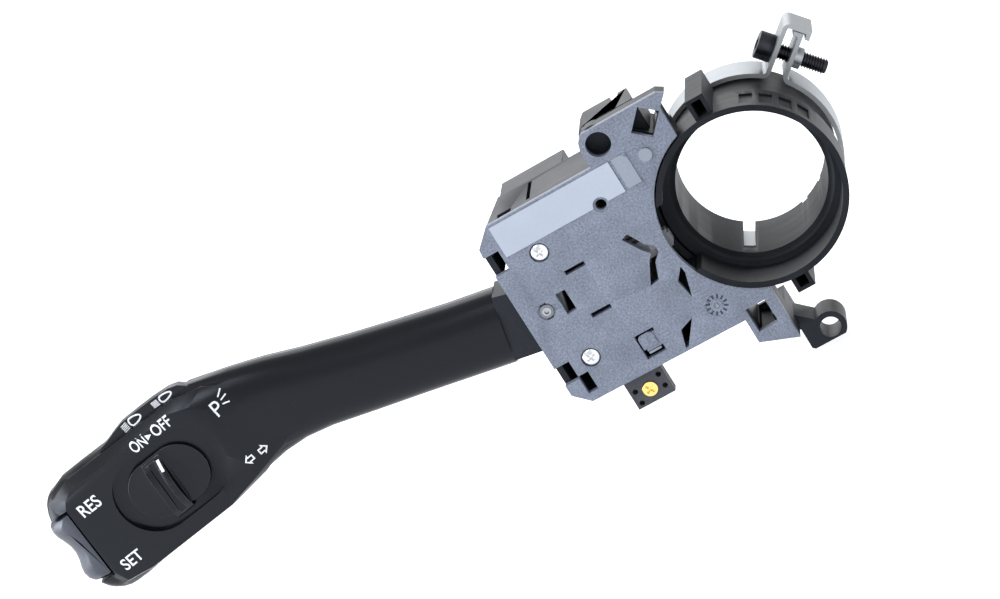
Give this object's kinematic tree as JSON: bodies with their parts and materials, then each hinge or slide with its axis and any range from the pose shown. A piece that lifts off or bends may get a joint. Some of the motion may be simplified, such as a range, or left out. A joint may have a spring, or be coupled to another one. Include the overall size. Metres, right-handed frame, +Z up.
{
  "type": "combination stalk switch",
  "caption": "Steering column switch with a slit clamp collar, a square switch case and a curved stalk that ends in a paddle with a cruise slider and rocker.",
  "frame": {"origin": "centre of the column bore", "axes": "+Y along the column bore, away from the driver; +Z up; +X to the driver's right, so the stalk points to -X"},
  "size_m": [0.2226, 0.0427, 0.078],
  "materials": {
    "black_plastic": "glass filled nylon, fine grain",
    "grey_plastic": "grey acetal, fine matt grain",
    "stalk_plastic": "soft matt black",
    "pale_plastic": "natural acetal",
    "finger_plastic": "light grey acetal",
    "zinc_steel": "bright zinc",
    "black_steel": "black oxide",
    "brass": "plain",
    "board": "glass fibre laminate",
    "switch_plastic": "black"
  },
  "bodies": {
    "base": {"housing_base": "black_plastic", "cover_plate": "grey_plastic", "cover_screws": "zinc_steel", "column_collar": "black_plastic", "collar_screws": "zinc_steel", "clamp_band": "zinc_steel", "clamp_screw": "black_steel", "clamp_nut": "zinc_steel", "connector_main": "black_plastic", "connector_pins": "brass", "connector_small": "black_plastic", "small_pins": "brass", "terminal_block": "black_plastic", "terminal_screw": "brass", "guide_frame": "black_plastic", "pawl_pin": "zinc_steel", "pawl_spring": "zinc_steel", "contact_board": "board", "contact_tracks": "brass"},
    "carrier": {"pivot_carrier": "pale_plastic", "dip_pin": "zinc_steel"},
    "lever": {"lever_root": "stalk_plastic", "detent_spring": "zinc_steel", "lever_back_shell": "stalk_plastic", "lever_front_shell": "stalk_plastic", "lever_board": "board", "slide_switch": "switch_plastic", "rocker_switches": "switch_plastic", "rocker_pin": "zinc_steel"},
    "plunger": {"detent_plunger": "pale_plastic"},
    "slider": {"cruise_slider": "stalk_plastic"},
    "rocker": {"set_res_rocker": "stalk_plastic"},
    "finger": {"cancel_pawl": "finger_plastic"},
    "contacts": {"contact_slider": "pale_plastic", "slider_wipers": "brass"}
  },
  "joints": [
    {"name": "turn", "type": "hinge", "parent": "base", "child": "carrier", "pos_m": [-0.0571, -0.014, -0.0005], "axis": [0, 1, 0], "range_deg": [-10, 10]},
    {"name": "beam", "type": "hinge", "parent": "carrier", "child": "lever", "pos_m": [-0.0571, -0.014, -0.0005], "axis": [0.2079, 0, 0.9781], "range_deg": [-4, 4]},
    {"name": "detent", "type": "slide", "parent": "lever", "child": "plunger", "axis": [0.9781, 0, -0.2079], "range_m": [-0.0006, 0], "stiffness_N_per_m": 900, "springref_m": 0.0008},
    {"name": "cruise", "type": "slide", "parent": "lever", "child": "slider", "axis": [-0.9877, 0, -0.1564], "range_m": [-0.004, 0.004]},
    {"name": "set_res", "type": "hinge", "parent": "lever", "child": "rocker", "pos_m": [-0.18113, -0.022, 0.00602], "axis": [0, 1, 0], "range_deg": [-3, 3], "stiffness_Nm_per_rad": 0.8},
    {"name": "cancel", "type": "hinge", "parent": "base", "child": "finger", "pos_m": [-0.038, -0.018, 0], "axis": [0, 1, 0], "range_deg": [-8, 8], "stiffness_Nm_per_rad": 0.03},
    {"name": "contact_travel", "type": "slide", "parent": "base", "child": "contacts", "axis": [0, 0, -1], "range_m": [-0.0026, 0.0026]}
  ],
  "couplings": [
    {"joint": "contact_travel", "follows": "turn", "m_per_rad": 0.01428}
  ]
}
